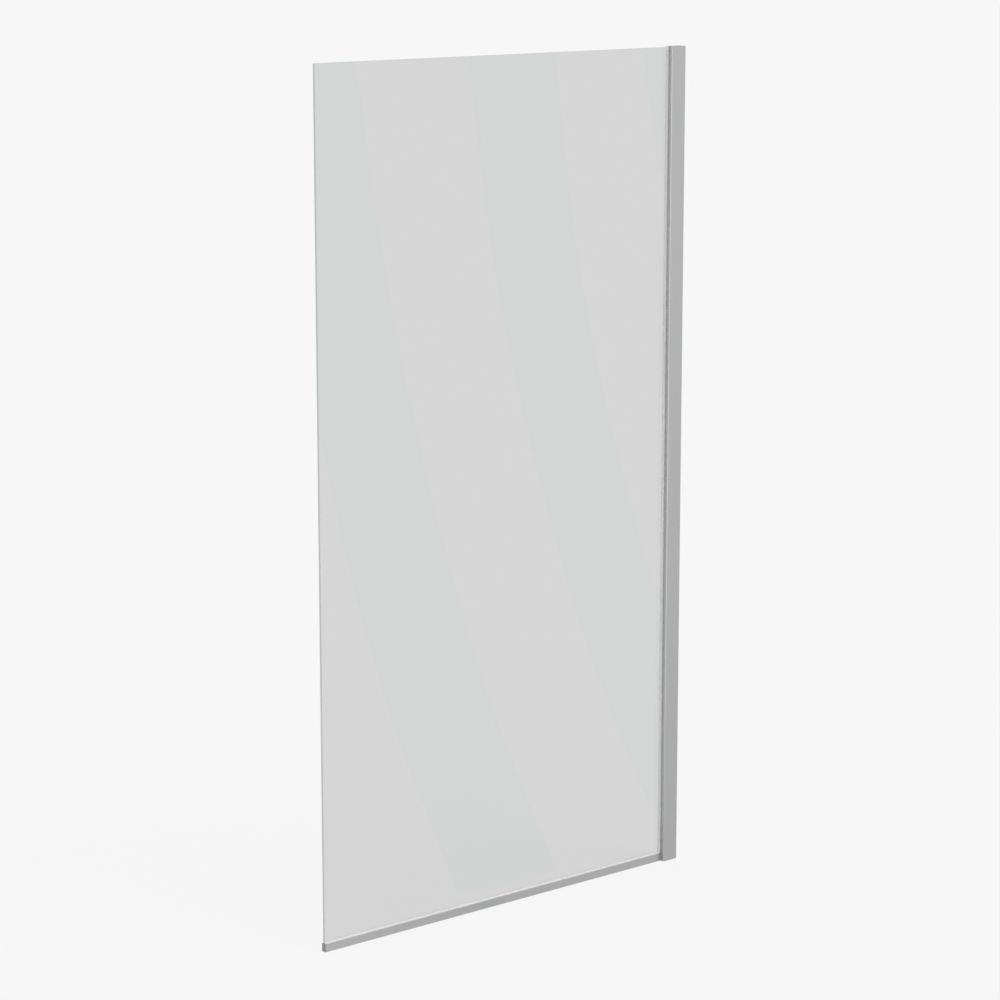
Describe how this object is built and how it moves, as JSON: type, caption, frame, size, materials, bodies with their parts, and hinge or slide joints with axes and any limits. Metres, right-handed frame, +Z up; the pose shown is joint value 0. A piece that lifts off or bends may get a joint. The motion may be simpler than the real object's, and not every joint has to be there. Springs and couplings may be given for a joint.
{
  "type": "fixed shower glass panel",
  "caption": "Fixed shower side panel: a clear glass pane in a slim bottom rail and a deep wall stile that slides over a wall jamb.",
  "frame": {"origin": "on the tray face under the rail, in the middle plane of the glass, half way between the free end and the wall", "axes": "+X towards the wall, +Z up, -Y out of the face that the picture shows"},
  "size_m": [1, 0.0259, 1.85],
  "materials": {
    "glass": "clear, ground edges",
    "anodised": "satin anodised",
    "vinyl": "translucent soft vinyl",
    "rubber": "matt",
    "cap_plastic": "fine matt moulding",
    "key_metal": "as cast",
    "steel": "stainless"
  },
  "bodies": {
    "wall_side": {"wall_jamb": "anodised"},
    "panel": {"wall_stile": "anodised", "glass_pane": "glass", "bottom_rail": "anodised", "stile_front_gasket": "vinyl", "stile_rear_gasket": "vinyl", "rail_front_gasket": "vinyl", "rail_rear_gasket": "vinyl", "stile_setting_blocks": "rubber", "rail_setting_blocks": "rubber", "stile_top_cap": "cap_plastic", "stile_bottom_cap": "cap_plastic", "rail_end_cap": "cap_plastic", "corner_key": "key_metal", "corner_key_screw": "steel", "rail_tongue_screw": "steel", "lock_screws": "steel", "lock_nut_plates": "steel", "lock_washers": "cap_plastic", "lock_screw_covers": "cap_plastic"}
  },
  "joints": [
    {"name": "width_adjust", "type": "slide", "parent": "wall_side", "child": "panel", "axis": [-1, 0, 0], "range_m": [0, 0.015]}
  ]
}
